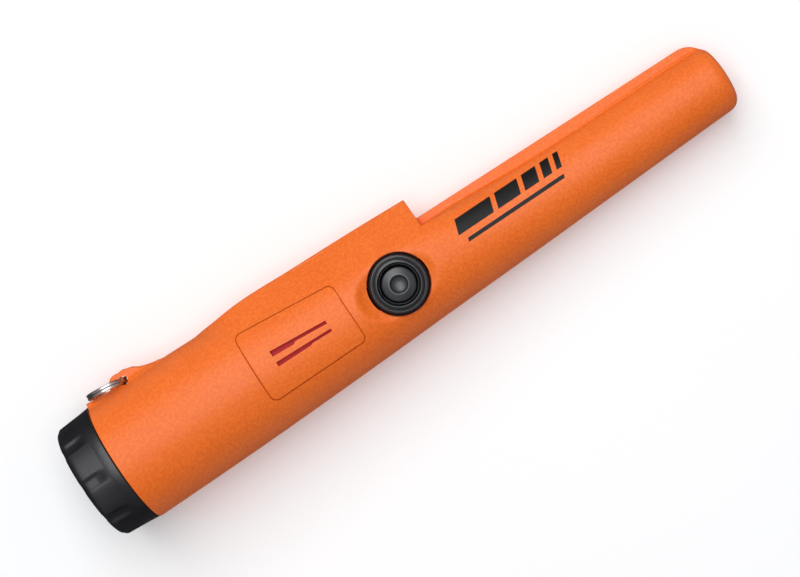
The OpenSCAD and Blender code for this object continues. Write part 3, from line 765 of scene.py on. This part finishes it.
class Nodes:
    """A short way to write a material's nodes."""

    def __init__(self, name):
        self.material = bpy.data.materials.new(name)
        self.material.use_nodes = True
        self.tree = self.material.node_tree
        self.tree.nodes.clear()
        self.shader = self.add("ShaderNodeBsdfPrincipled")
        output = self.add("ShaderNodeOutputMaterial")
        self.link(self.shader, "BSDF", output, "Surface")
        self.place = self.add("ShaderNodeTexCoord")

    def add(self, kind, **values):
        """A new node, with its properties or its inputs set by name."""
        node = self.tree.nodes.new(kind)
        for key, value in values.items():
            if hasattr(node, key):
                setattr(node, key, value)
            else:
                node.inputs[key.replace("_", " ")].default_value = value
        return node

    def link(self, a, out, b, into):
        self.tree.links.new(a.outputs[out], b.inputs[into])

    def noise(self, scale, detail=3.0, roughness=0.55):
        """Noise in the row frame; scale is in features per metre."""
        node = self.add("ShaderNodeTexNoise", Scale=scale, Detail=detail, Roughness=roughness)
        self.link(self.place, "Object", node, "Vector")
        return node

    def ramp(self, source, out, stops):
        """A colour ramp of (position, colour or grey) stops."""
        node = self.add("ShaderNodeValToRGB")
        items = node.color_ramp.elements
        while len(items) < len(stops):
            items.new(0.5)
        for item, (position, value) in zip(items, stops):
            colour = value if isinstance(value, (tuple, list)) else (value,) * 3
            item.position = position
            item.color = (*colour, 1)
        self.link(source, out, node, "Fac")
        return node

    def mix(self, factor, a, b):
        """Mixes two colours. Each of factor, a and b is a value or a (node, output) pair."""
        node = self.add("ShaderNodeMix", data_type="RGBA")
        for index, value in ((0, factor), (6, a), (7, b)):
            if isinstance(value, tuple) and hasattr(value[0], "outputs"):
                self.tree.links.new(value[0].outputs[value[1]], node.inputs[index])
            elif index == 0:
                node.inputs[index].default_value = value
            else:
                node.inputs[index].default_value = (*value, 1)
        return node

    def bump(self, source, out, distance, strength, under=None):
        """A bump from a node's output, over another bump if there is one; distance is in metres."""
        node = self.add("ShaderNodeBump", Distance=distance, Strength=strength)
        self.link(source, out, node, "Height")
        if under is not None:
            self.link(under, "Normal", node, "Normal")
        return node

    def finish(self, colour=None, roughness=None, normal=None, **sockets):
        """Links (node, output) pairs and a bump into the shader, sets its other inputs by name,
        and returns the material."""
        if colour is not None:
            self.link(colour[0], colour[1], self.shader, "Base Color")
        if roughness is not None:
            self.link(roughness[0], roughness[1], self.shader, "Roughness")
        if normal is not None:
            self.link(normal, "Normal", self.shader, "Normal")
        for key, value in sockets.items():
            self.shader.inputs[key.replace("_", " ")].default_value = value
        return self.material


def moulded_orange():
    """Speckled orange plastic: a fine moulded grain, faint mottling, and paler worn edges."""
    n = Nodes("moulded_orange")
    grain = n.noise(2600, 2.0, 0.6)
    speck = n.noise(1150, 2.0, 0.5)
    cloud = n.noise(38, 4.0, 0.6)
    base = n.ramp(cloud, "Fac", [(0.3, (0.85, 0.142, 0.008)), (0.7, (0.91, 0.17, 0.012))])
    flecks = n.ramp(speck, "Fac", [(0.4, 0.0), (0.62, 1.0)])
    dotted = n.mix((flecks, "Color"), (0.81, 0.13, 0.008), (0.95, 0.19, 0.017))
    colour = n.mix(0.55, (base, "Color"), (dotted, "Result"))
    edge = n.add("ShaderNodeNewGeometry")
    worn = n.ramp(edge, "Pointiness", [(0.56, 0.0), (0.66, 0.5)])
    colour = n.mix((worn, "Color"), (colour, "Result"), (0.95, 0.3, 0.07))
    rough = n.ramp(cloud, "Fac", [(0.3, 0.42), (0.7, 0.54)])
    fine = n.bump(grain, "Fac", 0.00006, 0.5)
    bumps = n.bump(speck, "Fac", 0.00012, 0.45, under=fine)
    return n.finish((colour, "Result"), (rough, "Color"), bumps, Specular_IOR_Level=0.42, IOR=1.5)


def moulded_black(name, low, high, rough_low, rough_high, grain_depth=0.00005, wear=0.3, gloss=0.6):
    """Black plastic or rubber with a fine grain and scuffed, greyer edges."""
    n = Nodes(name)
    grain = n.noise(2200, 3.0, 0.6)
    cloud = n.noise(160, 5.0, 0.62)
    base = n.ramp(cloud, "Fac", [(0.3, low), (0.72, high)])
    edge = n.add("ShaderNodeNewGeometry")
    worn = n.ramp(edge, "Pointiness", [(0.55, 0.0), (0.68, wear)])
    colour = n.mix((worn, "Color"), (base, "Color"), tuple(3.0 * v for v in high))
    rough = n.ramp(cloud, "Fac", [(0.3, rough_low), (0.72, rough_high)])
    bumps = n.bump(grain, "Fac", grain_depth, 0.5)
    return n.finish((colour, "Result"), (rough, "Color"), bumps, Specular_IOR_Level=gloss)


def plated_steel():
    """Bright plated wire with fine drawn scratches."""
    n = Nodes("plated_steel")
    scratch = n.noise(5200, 4.0, 0.7)
    cloud = n.noise(420, 3.0, 0.5)
    base = n.ramp(cloud, "Fac", [(0.3, (0.50, 0.48, 0.47)), (0.7, (0.72, 0.70, 0.69))])
    rough = n.ramp(scratch, "Fac", [(0.3, 0.2), (0.7, 0.36)])
    bumps = n.bump(scratch, "Fac", 0.00001, 0.4)
    return n.finish((base, "Color"), (rough, "Color"), bumps, Metallic=1.0)


def red_film():
    """The dark red film behind the sound slots, with a fine weave."""
    n = Nodes("red_film")
    wave = n.add("ShaderNodeTexWave", Scale=900.0, Distortion=0.4)
    n.link(n.place, "Object", wave, "Vector")
    cloud = n.noise(500, 3.0, 0.5)
    base = n.ramp(cloud, "Fac", [(0.3, (0.36, 0.006, 0.010)), (0.7, (0.5, 0.012, 0.016))])
    rough = n.ramp(cloud, "Fac", [(0.0, 0.55), (1.0, 0.8)])
    bumps = n.bump(wave, "Fac", 0.00008, 0.5)
    return n.finish((base, "Color"), (rough, "Color"), bumps)


def clear_lens():
    """Clear moulded plastic over the lamp, with faint haze."""
    n = Nodes("clear_lens")
    haze = n.noise(900, 3.0, 0.5)
    rough = n.ramp(haze, "Fac", [(0.4, 0.04), (0.75, 0.16)])
    bumps = n.bump(haze, "Fac", 0.00002, 0.3)
    return n.finish(
        None, (rough, "Color"), bumps,
        Base_Color=(0.93, 0.96, 0.98, 1), Transmission_Weight=0.85, IOR=1.49,
    )


def plain_stuff(name, low, high, rough_low, rough_high, scale, metallic, grain_depth=0.00003):
    """A procedural finish for the pieces inside: two close colours, uneven gloss and a fine grain."""
    n = Nodes(name)
    cloud = n.noise(scale, 4.0, 0.6)
    grain = n.noise(scale * 6, 2.0, 0.5)
    base = n.ramp(cloud, "Fac", [(0.3, low), (0.7, high)])
    rough = n.ramp(grain, "Fac", [(0.3, rough_low), (0.7, rough_high)])
    bumps = n.bump(grain, "Fac", grain_depth, 0.4)
    return n.finish((base, "Color"), (rough, "Color"), bumps, Metallic=metallic)


def dress(ob, material):
    """Gives ob this one material."""
    ob.data.materials.clear()
    ob.data.materials.append(material)


# Inside finishes: dark colour, light colour, roughness from and to, noise scale, metallic.
INSIDE = {
    "seal_rubber": ((0.012, 0.012, 0.013), (0.03, 0.03, 0.032), 0.5, 0.7, 300, 0.0),
    "foam_pad": ((0.03, 0.03, 0.033), (0.09, 0.09, 0.095), 0.85, 0.98, 1500, 0.0),
    "piezo_brass": ((0.55, 0.36, 0.12), (0.75, 0.55, 0.25), 0.25, 0.45, 250, 1.0),
    "switch_plastic": ((0.5, 0.48, 0.42), (0.66, 0.64, 0.58), 0.4, 0.6, 300, 0.0),
    "led_resin": ((0.75, 0.77, 0.68), (0.88, 0.9, 0.84), 0.1, 0.25, 300, 0.0),
    "board_green": ((0.012, 0.09, 0.035), (0.03, 0.17, 0.07), 0.3, 0.5, 220, 0.0),
    "board_blue": ((0.02, 0.06, 0.2), (0.05, 0.12, 0.34), 0.3, 0.5, 220, 0.0),
    "chassis_plastic": ((0.52, 0.52, 0.5), (0.68, 0.68, 0.66), 0.45, 0.65, 180, 0.0),
    "screw_steel": ((0.45, 0.45, 0.46), (0.7, 0.7, 0.71), 0.2, 0.4, 600, 1.0),
    "chip_black": ((0.015, 0.015, 0.017), (0.045, 0.045, 0.048), 0.35, 0.6, 500, 0.0),
    "motor_can": ((0.5, 0.5, 0.52), (0.72, 0.72, 0.74), 0.2, 0.38, 260, 1.0),
    "weight_metal": ((0.3, 0.29, 0.27), (0.48, 0.47, 0.44), 0.35, 0.55, 400, 1.0),
    "sleeve_rubber": ((0.015, 0.015, 0.016), (0.04, 0.04, 0.042), 0.6, 0.8, 400, 0.0),
    "battery_case": ((0.05, 0.06, 0.09), (0.12, 0.13, 0.17), 0.25, 0.45, 90, 0.6),
    "contact_nickel": ((0.55, 0.52, 0.45), (0.75, 0.72, 0.64), 0.2, 0.4, 500, 1.0),
    "lead_red": ((0.3, 0.01, 0.01), (0.5, 0.03, 0.03), 0.4, 0.6, 700, 0.0),
    "lead_gold": ((0.38, 0.24, 0.04), (0.58, 0.4, 0.09), 0.35, 0.55, 700, 0.0),
    "ferrite_grey": ((0.02, 0.02, 0.022), (0.07, 0.07, 0.074), 0.5, 0.75, 500, 0.0),
    "bobbin_cream": ((0.66, 0.6, 0.46), (0.82, 0.77, 0.64), 0.45, 0.65, 200, 0.0),
    "winding_copper": ((0.45, 0.16, 0.05), (0.72, 0.33, 0.14), 0.25, 0.5, 2200, 1.0),
}


def dress_inside():
    """Gives every CAD piece that stays its slot's finish."""
    slots = {s["node"]: s["material_slot"] for s in frame["record"]["subparts"]}
    made = {}
    for name, ob in frame["nodes"].items():
        finish = slots[name]
        if finish not in INSIDE:
            continue
        if finish not in made:
            made[finish] = plain_stuff(finish, *INSIDE[finish])
        dress(ob, made[finish])


# ------------------------------------------------------------------ the camera, the floor and the light

CAMERA_AT = (116.7, 15.2, 666.0)    # in the probe's millimetres
LENS = 100.0
ROLL = 33.7                         # how far the probe's axis is turned in the picture
AIM = (1.461, 0.588, 0.018)         # a small rotation vector that aims the camera, in degrees


def build_camera():
    """A long lens over the button side, fitted to the photo."""
    a = math.radians(ROLL)
    roll = Matrix(((math.cos(a), -math.sin(a), 0), (math.sin(a), math.cos(a), 0), (0, 0, 1)))
    turn = Vector([math.radians(t) for t in AIM])
    aim = Matrix.Rotation(turn.length, 3, turn) @ roll
    axes = Matrix(AXES.tolist())
    data = bpy.data.cameras.new("camera")
    data.lens = LENS
    data.sensor_width = 36.0
    data.clip_start = 0.05
    data.clip_end = 10.0
    camera = bpy.data.objects.new("camera", data)
    camera.matrix_world = Matrix.Translation(laid([CAMERA_AT])[0]) @ (aim @ axes).transposed().to_4x4()
    bpy.context.scene.collection.objects.link(camera)
    bpy.context.scene.camera = camera


def build_floor():
    """A wide pale floor with a faint light of its own."""
    half = 6.0
    corners = [(-half, -half, 0), (half, -half, 0), (half, half, 0), (-half, half, 0)]
    mesh = bpy.data.meshes.new("floor")
    mesh.from_pydata(corners, [], [(0, 1, 2, 3)])
    floor = bpy.data.objects.new("floor", mesh)
    bpy.context.scene.collection.objects.link(floor)
    n = Nodes("pale_floor")
    cloud = n.noise(3, 3.0, 0.5)
    tone = n.ramp(cloud, "Fac", [(0.3, 0.92), (0.7, 0.94)])
    glow = 0.08             # the floor's own faint light, as of a light table
    dress(floor, n.finish(
        (tone, "Color"), Roughness=0.9, Specular_IOR_Level=0.2,
        Emission_Color=(1, 1, 1, 1), Emission_Strength=glow,
    ))
    floor.visible_glossy = False        # a mat that doesn't mirror in the probe's sides


def area_light(name, at, target, size, power):
    data = bpy.data.lights.new(name, "AREA")
    data.shape = "RECTANGLE"
    data.size, data.size_y = size
    data.energy = power
    light = bpy.data.objects.new(name, data)
    light.location = at
    light.rotation_euler = (Vector(target) - Vector(at)).to_track_quat("-Z", "Y").to_euler()
    bpy.context.scene.collection.objects.link(light)


def build_light():
    """One wide soft light from above the ridge's side, in a room that is darker below."""
    area_light("key", at=(0.06, 0.50, 1.30), target=(0.02, 0, 0), size=(1.1, 1.8), power=19.0)
    world = bpy.data.worlds.new("soft_room")
    world.use_nodes = True
    tree = world.node_tree
    place = tree.nodes.new("ShaderNodeTexCoord")
    split = tree.nodes.new("ShaderNodeSeparateXYZ")
    ramp = tree.nodes.new("ShaderNodeValToRGB")
    low, high = ramp.color_ramp.elements
    low.position, low.color = 0.0, (0.06, 0.062, 0.066, 1)
    high.position, high.color = 1.0, (0.46, 0.47, 0.49, 1)
    tree.links.new(place.outputs["Generated"], split.inputs[0])
    tree.links.new(split.outputs["Z"], ramp.inputs["Fac"])
    tree.links.new(ramp.outputs["Color"], tree.nodes["Background"].inputs["Color"])
    tree.nodes["Background"].inputs["Strength"].default_value = 1.0
    bpy.context.scene.world = world
    bpy.context.scene.view_settings.view_transform = "Standard"


# ------------------------------------------------------------------ putting it together

build_camera()
build_floor()
build_light()

orange = moulded_orange()
dress(build_housing(), orange)
dress(build_panel(), orange)
dress(build_membrane(), red_film())
dress(build_cap(), moulded_black(
    "cap_black", (0.006, 0.006, 0.008), (0.013, 0.013, 0.016), 0.3, 0.46,
))
dress(build_bezel(), moulded_black(
    "bezel_black", (0.006, 0.006, 0.008), (0.014, 0.015, 0.018), 0.24, 0.4, wear=0.2,
))
dress(build_button(), moulded_black(
    "button_black", (0.010, 0.011, 0.013), (0.02, 0.022, 0.026), 0.34, 0.46,
    grain_depth=0.00003, wear=0.0, gloss=0.9,
))
ink = moulded_black(
    "print_ink", (0.005, 0.005, 0.006), (0.012, 0.011, 0.011), 0.4, 0.6, wear=0.2, gloss=0.25,
)
for mark in build_print():
    dress(mark, ink)
dress(build_lens(), clear_lens())
dress(build_ring(), plated_steel())
dress_inside()
